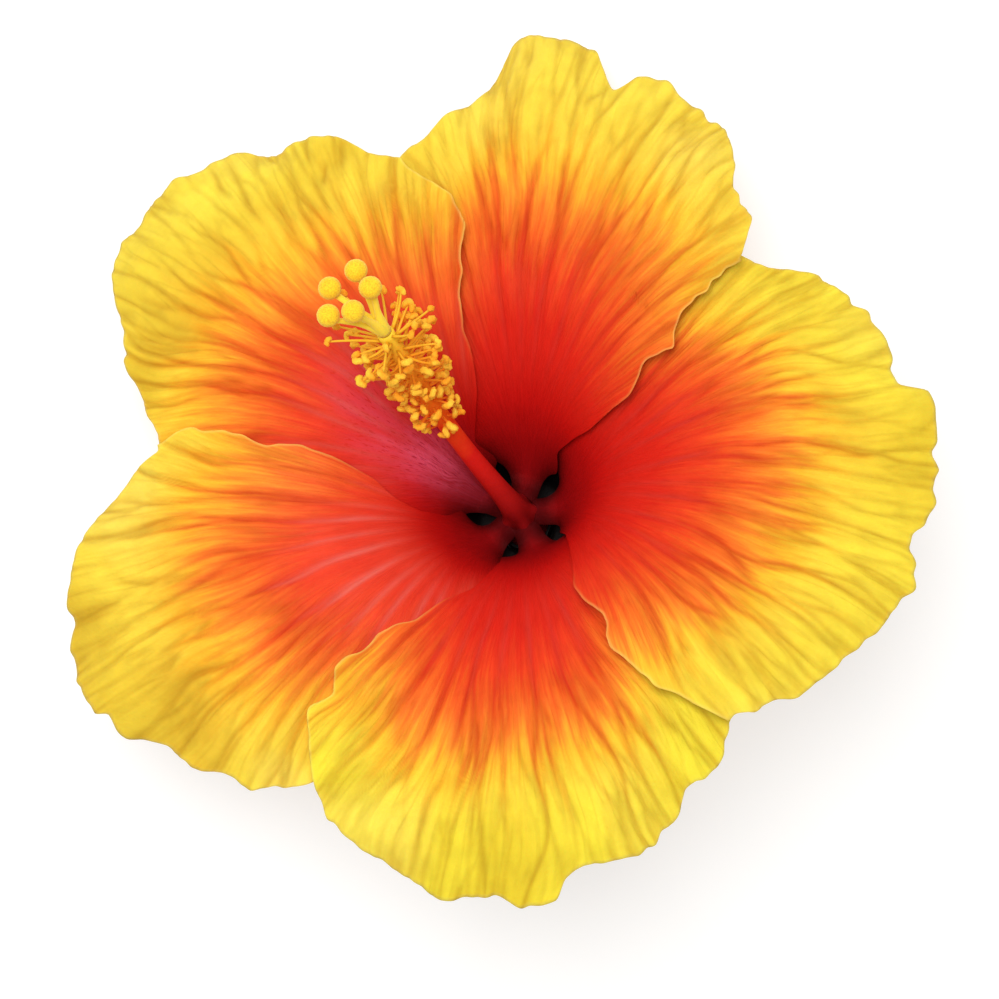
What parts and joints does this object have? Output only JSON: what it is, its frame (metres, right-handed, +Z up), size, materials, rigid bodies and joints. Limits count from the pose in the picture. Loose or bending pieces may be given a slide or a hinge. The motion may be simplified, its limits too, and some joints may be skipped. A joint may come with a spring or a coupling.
{
  "type": "hibiscus flower",
  "caption": "Hibiscus flower laid on a table: overlapping ruffled petals round a deep throat, a leaning staminal column with anthers, a green calyx and a short cut stalk.",
  "frame": {"origin": "on the surface that the flower lies on, under the middle of its bounding box", "axes": "+Z up off the surface; +Y towards the top petal, which is one of the two petals it rests on; the throat faces up and leans away from +Z"},
  "size_m": [0.1404, 0.131, 0.0778],
  "materials": {
    "petal": "matte",
    "stamens": "matte",
    "stigma": "matte",
    "calyx": "matte",
    "stalk": "matte"
  },
  "bodies": {
    "root": {"petal_1": "petal", "petal_2": "petal", "petal_3": "petal", "petal_4": "petal", "petal_5": "petal", "staminal_column": "stamens", "pistil": "stigma", "calyx": "calyx", "epicalyx": "calyx", "stalk": "stalk"}
  },
  "joints": []
}
